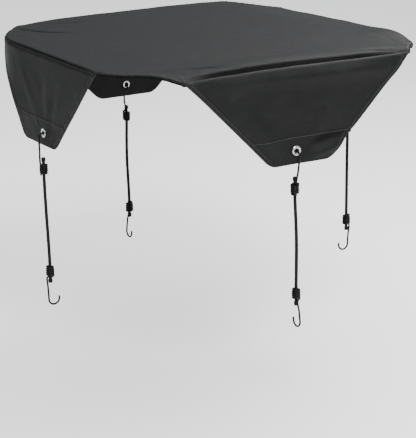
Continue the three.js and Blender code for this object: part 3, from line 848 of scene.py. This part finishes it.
def hook_route(side, bend_at, coil_at, radius, height, joint, way):
    """A hook's route: its tip, a half circle round a centre at that height, a shank, and a
    coil from the joint on. way is 1 where the coil is above the bend, and -1 below it."""
    middle = SHANK_STANDOFF - radius
    turn = np.radians(np.arange(0, 181, BEND_STEP))
    tip = beside(side, bend_at, middle - radius, np.array([height + way * HOOK_TIP]))
    bend = beside(side, bend_at, middle - radius * np.cos(turn), height - way * radius * np.sin(turn))
    shank = beside(
        side,
        np.array([(bend_at + coil_at) / 2, coil_at - SHANK_LEAN]),
        SHANK_STANDOFF,
        np.array([(height + joint) / 2, joint - way * SHANK_END]),
    )
    return np.vstack([tip, bend, shank, coil_route(side, coil_at, joint, way)])


def upper_hook_route(side):
    """The upper hook, which bends through the eyelet from behind, above its coil."""
    height = -EYELET_DROP - UPPER_BEND_DROP - UPPER_BEND_RADIUS
    return hook_route(side, side["eyelet"], side["upper"], UPPER_BEND_RADIUS, height, UPPER_COIL_TOP, -1)


def lower_hook_route(side):
    """The lower hook, which bends in towards the unit, below its coil."""
    height = LOWER_HOOK_BOTTOM + LOWER_BEND_RADIUS
    bend_at = side["lower"] + LOWER_BEND_SHIFT
    joint = LOWER_COIL_TOP - COIL_HEIGHT
    return hook_route(side, bend_at, side["lower"], LOWER_BEND_RADIUS, height, joint, 1)


def build_hook(name, side, route, sideways, material):
    """A hook of round wire along its route. Its section starts from the way sideways on
    the bend and the shank, and from the way out of the coil on the turns."""
    path = smooth_path(route, WIRE_POINTS)
    axis = beside(side, sideways, CORD_STANDOFF, path[:, 2])
    radial = unit(path - axis)
    shank = np.cross(side["along"], unit(np.gradient(path, axis=0)))
    start = coil_start(route, path)
    on_coil = smoothstep(-6.0, 6.0, np.arange(len(path)) - start)
    facing = np.sign(np.sum(shank[start] * radial[start]))
    reference = mix(shank * facing, radial, on_coil[:, None])
    return tube_object(name, path, WIRE_RADIUS, reference, WIRE_SIDES, material)


def coil_start(route, path):
    """The number of the path's point nearest to where the coil's first turn starts."""
    first = route[-COIL_TURNS * COIL_POINTS]
    return int(np.argmin(np.linalg.norm(path - first, axis=1)))


def cord_route(side):
    """A cord's route: a straight line from coil to coil, swayed as its table says."""
    down, sideways, outwards = np.array(CORD_ROUTE).T
    straight = smoothstep(0.1, 0.9, down)
    return beside(
        side,
        mix(side["upper"], side["lower"], straight) + sideways,
        CORD_STANDOFF + outwards,
        mix(CORD_TOP, CORD_BOTTOM, down),
    )


def build_cord(side, material):
    """A stretched cord, slightly fatter where the coils grip it."""
    path = smooth_path(cord_route(side), CORD_POINTS)
    down = np.linspace(0.0, 1.0, len(path))
    from_end = np.minimum(down, 1 - down)
    grip = np.exp(-(((from_end - GRIP_MIDDLE) / GRIP_REACH) ** 2))
    radius = CORD_RADIUS + GRIP_SWELL * grip
    name = f"bungee_cord_{side['name']}"
    return tube_object(name, path, radius, np.array(side["along"]), CORD_SIDES, material), path


def build_knob(name, centre, lean, material):
    """A knob at a cord's end: a barrel whose radius is the power 0.4 of one minus the fifth
    power of the place along it."""
    axis = unit(np.array([*lean, 1.0]))
    t = np.linspace(-1.0, 1.0, 19)
    path = centre + axis * (t * KNOB_LENGTH / 2 * 0.97)[:, None]
    radius = KNOB_RADIUS * np.maximum((1 - np.abs(t) ** 5) ** 0.4, 0.2)
    return tube_object(name, path, radius, np.array([1.0, 0.0, 0.0]), CORD_SIDES, material)


# Materials

def new_material(name):
    """A new material with its node tree and its surface shader."""
    material = bpy.data.materials.new(name)
    material.use_nodes = True
    tree = material.node_tree
    tree.nodes.clear()
    output = tree.nodes.new("ShaderNodeOutputMaterial")
    shader = tree.nodes.new("ShaderNodeBsdfPrincipled")
    tree.links.new(shader.outputs["BSDF"], output.inputs["Surface"])
    return material, tree, shader


def feed(tree, node, inputs):
    """Sets a node's inputs, each to a value or to another node's output."""
    for key, value in inputs.items():
        if isinstance(value, bpy.types.NodeSocket):
            tree.links.new(value, node.inputs[key])
        else:
            node.inputs[key].default_value = value


def add_node(tree, kind, inputs=None, **settings):
    """The outputs of a new node of a kind, with its settings and inputs."""
    node = tree.nodes.new(kind)
    for key, value in settings.items():
        setattr(node, key, value)
    feed(tree, node, inputs or {})
    return node.outputs


def calculate(tree, operation, first, second=0.0):
    """The result of a sum on two values."""
    return add_node(tree, "ShaderNodeMath", {0: first, 1: second}, operation=operation)[0]


def blend_colours(tree, factor, first, second):
    """A mix of two colours."""
    return add_node(tree, "ShaderNodeMix", {0: factor, 6: first, 7: second}, data_type="RGBA")[2]


def map_range(tree, value, low, high, to_low, to_high):
    """A value moved from one range to another."""
    ranges = {"From Min": low, "From Max": high, "To Min": to_low, "To Max": to_high}
    return add_node(tree, "ShaderNodeMapRange", {"Value": value, **ranges})["Result"]


def noise(tree, place, scale, detail, roughness=0.5):
    """A noise from 0 to 1, with about scale spots to a unit of place."""
    inputs = {"Vector": place, "Scale": scale, "Detail": detail, "Roughness": roughness}
    return add_node(tree, "ShaderNodeTexNoise", inputs)["Fac"]


def bump(tree, height, strength, distance):
    """The way that a surface faces once a height has tilted it."""
    inputs = {"Height": height, "Strength": strength, "Distance": distance}
    return add_node(tree, "ShaderNodeBump", inputs)["Normal"]


def object_place(tree):
    """The place on the piece, in metres."""
    return add_node(tree, "ShaderNodeTexCoord")["Object"]


def own_uv(tree):
    """The piece's own UV map, and its two numbers apart."""
    uv = add_node(tree, "ShaderNodeUVMap", uv_map="UVMap")["UV"]
    split = add_node(tree, "ShaderNodeSeparateXYZ", {"Vector": uv})
    return uv, split["X"], split["Y"]


def shade(colour, share):
    """A colour made lighter or darker, with full opacity."""
    return (*(min(channel * share, 1.0) for channel in colour[:3]), 1.0)


def threads(tree, coordinate, count):
    """One set of threads: a sine of the coordinate with count waves over its whole."""
    wave = calculate(tree, "SINE", calculate(tree, "MULTIPLY", coordinate, count * 2 * np.pi))
    return map_range(tree, wave, -1.0, 1.0, 0.0, 1.0)


def cloth_material():
    """Satin black coated cloth: a fine woven grain under the coat, soft mottling, paler
    rubbed edges, a little dust, and painted shade with no shine in the creases and along the corner hems."""
    settings = bpy.context.scene.cover_cloth
    colour, shine, roughness = tuple(settings.colour), settings.shine, settings.roughness
    material, tree, shader = new_material("coated_cloth")
    uv, across, down = own_uv(tree)
    count = FLAT_SPAN / settings.thread_spacing
    weave = calculate(tree, "MULTIPLY", threads(tree, across, count), threads(tree, down, count))
    grain = noise(tree, uv, 520.0, 3.0)
    mottle = noise(tree, uv, 9.0, 5.0)
    dust = noise(tree, uv, 46.0, 6.0, 0.7)
    wear = add_node(tree, "ShaderNodeAttribute", attribute_name="edge_wear")["Fac"]
    painted_crease_shade = add_node(tree, "ShaderNodeAttribute", attribute_name="painted_crease_shade")["Fac"]
    mottling = map_range(tree, mottle, 0.35, 0.65, 0.0, 1.0)
    mottled = blend_colours(tree, mottling, shade(colour, 0.86), shade(colour, 1.14))
    dusting = map_range(tree, dust, 0.52, 0.78, 0.0, 0.16)
    dusty = blend_colours(tree, dusting, mottled, shade(colour, 4.5))
    rubbing = calculate(tree, "MULTIPLY", wear, map_range(tree, dust, 0.3, 0.7, 0.1, 0.55))
    worn = blend_colours(tree, rubbing, dusty, shade(colour, 6.0))
    # Painted shade: the colour darkens and the shine drops in the fold troughs and along the corner hems.
    depth = map_range(tree, painted_crease_shade, 0.2, 0.9, 0.0, 0.9)
    ribs = calculate(tree, "MULTIPLY", weave, 0.6)
    fine = calculate(tree, "ADD", ribs, calculate(tree, "MULTIPLY", grain, 0.5))
    shader.inputs["Specular IOR Level"].default_value = shine
    feed(tree, shader, {
        "Base Color": blend_colours(tree, depth, worn, shade(colour, 0.2)),
        "Specular IOR Level": map_range(tree, painted_crease_shade, 0.2, 0.9, shine, 0.02),
        "Roughness": map_range(tree, mottle, 0.3, 0.7, roughness - 0.05, roughness + 0.06),
        "Normal": bump(tree, fine, 0.32, 0.0005),
    })
    return material


def thread_material():
    """Sewing thread: near black, with a twist along it."""
    material, tree, shader = new_material("sewing_thread")
    twist = noise(tree, object_place(tree), 900.0, 2.0)
    feed(tree, shader, {
        "Base Color": blend_colours(tree, twist, THREAD_DARK, THREAD_LIGHT),
        "Roughness": 0.5,
        "Normal": bump(tree, twist, 0.3, 0.0001),
    })
    return material


def eyelet_material():
    """Plated metal: bright, with fine scratches and duller patches."""
    colour = tuple(bpy.context.scene.cover_fittings.eyelet_colour)
    material, tree, shader = new_material("eyelet_metal")
    place = object_place(tree)
    patch = noise(tree, place, 320.0, 4.0)
    dull = map_range(tree, patch, 0.4, 0.7, 0.0, 1.0)
    feed(tree, shader, {
        "Base Color": blend_colours(tree, dull, shade(colour, 1.0), shade(colour, 0.55)),
        "Roughness": map_range(tree, patch, 0.3, 0.7, 0.18, 0.36),
        "Metallic": 1.0,
        "Normal": bump(tree, noise(tree, place, 2600.0, 2.0), 0.08, 0.0001),
    })
    return material


def wire_material():
    """Black plastic coat on steel wire: a satin gloss with scuffs."""
    colour = tuple(bpy.context.scene.cover_fittings.wire_colour)
    material, tree, shader = new_material("coated_wire")
    scuff = noise(tree, object_place(tree), 240.0, 6.0, 0.7)
    scuffed = map_range(tree, scuff, 0.55, 0.75, 0.0, 0.4)
    feed(tree, shader, {
        "Base Color": blend_colours(tree, scuffed, shade(colour, 1.0), SCUFF_COLOUR),
        "Specular IOR Level": 0.12,
        "Roughness": map_range(tree, scuff, 0.3, 0.7, 0.26, 0.5),
        "Normal": bump(tree, scuff, 0.12, 0.0002),
    })
    return material


def cord_material():
    """A braided sleeve: two sets of strands that wind the opposite ways round the cord."""
    settings = bpy.context.scene.cover_fittings
    colour = tuple(settings.cord_colour)
    material, tree, shader = new_material("elastic_cord")
    uv, across, down = own_uv(tree)
    around = calculate(tree, "MULTIPLY", across, 8.0)
    run = calculate(tree, "MULTIPLY", down, 1 / settings.braid_pitch)
    strands = [threads(tree, calculate(tree, way, around, run), 1.0) for way in ("ADD", "SUBTRACT")]
    braid = calculate(tree, "MAXIMUM", *strands)
    fuzz = noise(tree, uv, 1500.0, 3.0)
    height = calculate(tree, "ADD", braid, calculate(tree, "MULTIPLY", fuzz, 0.2))
    feed(tree, shader, {
        "Base Color": blend_colours(tree, braid, shade(colour, 0.45), shade(colour, 1.25)),
        "Roughness": map_range(tree, fuzz, 0.3, 0.7, 0.62, 0.82),
        "Specular IOR Level": 0.15,
        "Normal": bump(tree, height, 0.6, 0.0005),
    })
    return material


def floor_material():
    """A plain pale matt floor."""
    colour = tuple(bpy.context.scene.cover_stage.floor_colour)
    material, tree, shader = new_material("pale_floor")
    feed(tree, shader, {"Base Color": (*colour, 1.0), "Roughness": 0.9, "Specular IOR Level": 0.1})
    return material


def room_light(settings):
    """Light from all round: dim at the walls and bright overhead, rising with height, and
    dimmer from the left than from the right."""
    world = bpy.data.worlds.new("room_light")
    world.use_nodes = True
    tree = world.node_tree
    way = add_node(tree, "ShaderNodeTexCoord")["Generated"]
    split = add_node(tree, "ShaderNodeSeparateXYZ", {"Vector": way})
    level = map_range(tree, split["Z"], 0.25, 0.85, settings.walls, settings.ceiling)
    share = map_range(tree, split["X"], -0.8, 0.6, 0.3, 1.02)
    strength = calculate(tree, "MULTIPLY", level, share)
    feed(tree, tree.nodes["Background"], {"Color": ROOM_COLOUR, "Strength": strength})
    return world


# Settings

def colour_setting(name, description, default):
    """A colour that a user may change."""
    return FloatVectorProperty(
        name=name, description=description, default=default, subtype="COLOR", size=3, min=0.0, max=1.0
    )


def length_setting(name, description, default, low, high):
    """A length that a user may change."""
    return FloatProperty(
        name=name, description=description, default=default, min=low, max=high,
        subtype="DISTANCE", unit="LENGTH",
    )


def share_setting(name, description, default, low, high):
    """A share that a user may change."""
    return FloatProperty(
        name=name, description=description, default=default, min=low, max=high, subtype="FACTOR"
    )


class ClothSettings(bpy.types.PropertyGroup):
    colour: colour_setting("Cloth colour", "Colour of the coated cloth", (0.0072, 0.0073, 0.0076))
    roughness: share_setting("Roughness", "How matt the coat is", 0.55, 0.1, 0.9)
    shine: share_setting("Shine", "How much the coat reflects", 0.085, 0.0, 1.0)
    thread_spacing: length_setting(
        "Thread spacing", "From one thread of the weave to the next", 0.0009, 0.0003, 0.004
    )
    fold_depth: share_setting("Fold depth", "Scale of the folds and wrinkles", 1.0, 0.0, 1.3)
    stitch_pitch: length_setting("Stitch length", "From one stitch of a hem to the next", 0.0042, 0.003, 0.01)


class FittingSettings(bpy.types.PropertyGroup):
    eyelet_colour: colour_setting("Eyelet colour", "Colour of the eyelets' plating", (0.52, 0.525, 0.54))
    wire_colour: colour_setting("Hook colour", "Colour of the wire's coat", (0.0035, 0.0035, 0.0036))
    cord_colour: colour_setting("Cord colour", "Colour of the braided sleeve", (0.004, 0.004, 0.0042))
    braid_pitch: length_setting(
        "Braid pitch", "Length of cord from one strand of the braid to the next", 0.0032, 0.001, 0.01
    )


class StageSettings(bpy.types.PropertyGroup):
    floor_colour: colour_setting("Floor colour", "Colour of the floor", (0.9, 0.9, 0.895))
    floor_height: length_setting("Floor height", "Height of the floor", -0.88, -3.0, -0.7)
    walls: FloatProperty(
        name="Wall light", description="Strength of the light from the walls",
        default=0.25, min=0.0, max=5.0,
    )
    ceiling: FloatProperty(
        name="Ceiling light", description="Strength of the light from overhead",
        default=2.8, min=0.0, max=10.0,
    )
    key: FloatProperty(
        name="Main light", description="Power of the large soft light",
        default=98.0, min=0.0, max=2000.0, subtype="POWER", unit="POWER",
    )


# Operators

class COVER_OT_camera(bpy.types.Operator):
    """Adds the camera at the photograph's viewing angle"""

    bl_idname = "fitted_cover.camera"
    bl_label = "Camera"

    def execute(self, context):
        camera = bpy.data.cameras.new("view_camera")
        camera.lens = CAMERA_LENS
        camera.sensor_width = CAMERA_SENSOR
        camera.clip_end = 100.0
        holder = bpy.data.objects.new("view_camera", camera)
        context.scene.collection.objects.link(holder)
        holder.matrix_world = camera_matrix()
        context.scene.camera = holder
        return {"FINISHED"}


def camera_matrix():
    """The camera's place and turn: rolled about its own axis, then tipped up from looking
    straight down to its pitch, then turned about the upright by its yaw."""
    yaw = Matrix.Rotation(CAMERA_YAW, 4, "Z")
    pitch = Matrix.Rotation(np.pi / 2 - CAMERA_PITCH, 4, "X")
    return Matrix.Translation(CAMERA_PLACE) @ yaw @ pitch @ Matrix.Rotation(CAMERA_ROLL, 4, "Z")


class COVER_OT_bungees(bpy.types.Operator):
    """Adds the four elastic cords with their knobs and wire hooks"""

    bl_idname = "fitted_cover.bungees"
    bl_label = "Bungees"

    def execute(self, context):
        braid, coat = cord_material(), wire_material()
        for side in SIDES:
            cord, path = build_cord(side, braid)
            put_on(cord, "elastic_cord", f"cord_{side['name']}")
            pieces = self.add_hooks(side, coat) + self.add_knobs(side, braid)
        return {"FINISHED"}

    def add_hooks(self, side, coat):
        hooks = []
        for end, route in (("upper", upper_hook_route(side)), ("lower", lower_hook_route(side))):
            hook = build_hook(f"{end}_hook_{side['name']}", side, route, side[end], coat)
            put_on(hook, "coated_wire", f"hook_{end}_{side['name']}")
            hooks.append(hook)
        return hooks

    def add_knobs(self, side, braid):
        knobs = []
        away = KNOB_LENGTH / 2 + GAP
        for end, height, lean in (("upper", CORD_TOP + away, 0.0), ("lower", CORD_BOTTOM - away, -0.12)):
            centre = beside(side, side[end], CORD_STANDOFF, height)
            tilt = lean * np.array(side["along"][:2])
            knob = build_knob(f"{end}_knob_{side['name']}", centre, tilt, braid)
            put_on(knob, "elastic_cord", f"knob_{end}_{side['name']}")
            knobs.append(knob)
        return knobs


class COVER_OT_eyelets(bpy.types.Operator):
    """Adds the pressed metal ring in the tip of each flap"""

    bl_idname = "fitted_cover.eyelets"
    bl_label = "Eyelets"

    def execute(self, context):
        metal = eyelet_material()
        for side in SIDES:
            put_on(build_eyelet(side, metal), "eyelet_metal", f"eyelet_{side['name']}")
        return {"FINISHED"}


class COVER_OT_cloth(bpy.types.Operator):
    """Adds the sheet of coated cloth and its hem stitches"""

    bl_idname = "fitted_cover.cloth"
    bl_label = "Cloth"

    def execute(self, context):
        rings = [bpy.data.objects.get(f"eyelet_ring_{side['name']}") for side in SIDES]
        if None in rings:
            raise RuntimeError("the eyelets come before the cloth that they are pressed into")
        cloth = build_cloth(cloth_material())
        stitches = build_stitches(thread_material())
        put_on(cloth, "coated_cloth", "cover")
        put_on(stitches, "coated_cloth")
        return {"FINISHED"}


class COVER_OT_stage(bpy.types.Operator):
    """Adds the pale floor and the soft studio light"""

    bl_idname = "fitted_cover.stage"
    bl_label = "Floor and lights"

    def execute(self, context):
        settings = context.scene.cover_stage
        self.add_floor(settings)
        self.add_light("top_light", *TOP_LIGHT, settings.key)
        self.add_light("side_light", *SIDE_LIGHT, settings.key * SIDE_LIGHT_SHARE)
        context.scene.world = room_light(settings)
        return {"FINISHED"}

    def add_floor(self, settings):
        corners = np.array([[-1, -1], [1, -1], [1, 1], [-1, 1]]) * FLOOR_REACH
        vertices = np.column_stack([corners, np.full(4, settings.floor_height)])
        floor = make_object("studio_floor", vertices, [[0, 1, 2, 3]], floor_material())

    def add_light(self, name, place, width, power):
        light = bpy.data.lights.new(name, "AREA")
        light.shape = "SQUARE"
        light.size = width
        light.energy = power
        holder = bpy.data.objects.new(name, light)
        bpy.context.scene.collection.objects.link(holder)
        aim = (LIGHT_AIM - Vector(place)).to_track_quat("-Z", "Y")
        holder.matrix_world = Matrix.Translation(place) @ aim.to_matrix().to_4x4()


class COVER_PT_panel(bpy.types.Panel):
    """Lists the pieces of the cover and their settings"""

    bl_idname = "COVER_PT_panel"
    bl_label = "Fitted cover"
    bl_space_type = "VIEW_3D"
    bl_region_type = "UI"
    bl_category = "Fitted cover"

    def draw(self, context):
        scene = context.scene
        for group in (scene.cover_cloth, scene.cover_fittings, scene.cover_stage):
            box = self.layout.box()
            for key in group.__annotations__:
                box.prop(group, key)
        for operator in OPERATORS:
            self.layout.operator(operator.bl_idname)


OPERATORS = (COVER_OT_camera, COVER_OT_bungees, COVER_OT_eyelets, COVER_OT_cloth, COVER_OT_stage)
CLASSES = (ClothSettings, FittingSettings, StageSettings, *OPERATORS, COVER_PT_panel)


def register():
    for kind in CLASSES:
        bpy.utils.register_class(kind)
    bpy.types.Scene.cover_cloth = PointerProperty(type=ClothSettings)
    bpy.types.Scene.cover_fittings = PointerProperty(type=FittingSettings)
    bpy.types.Scene.cover_stage = PointerProperty(type=StageSettings)


def unregister():
    del bpy.types.Scene.cover_stage
    del bpy.types.Scene.cover_fittings
    del bpy.types.Scene.cover_cloth
    for kind in reversed(CLASSES):
        bpy.utils.unregister_class(kind)


def main():
    """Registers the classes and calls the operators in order."""
    register()
    bpy.ops.fitted_cover.camera()
    bpy.ops.fitted_cover.bungees()
    bpy.ops.fitted_cover.eyelets()
    bpy.ops.fitted_cover.cloth()
    bpy.ops.fitted_cover.stage()
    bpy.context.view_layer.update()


if __name__ == "__main__":
    main()
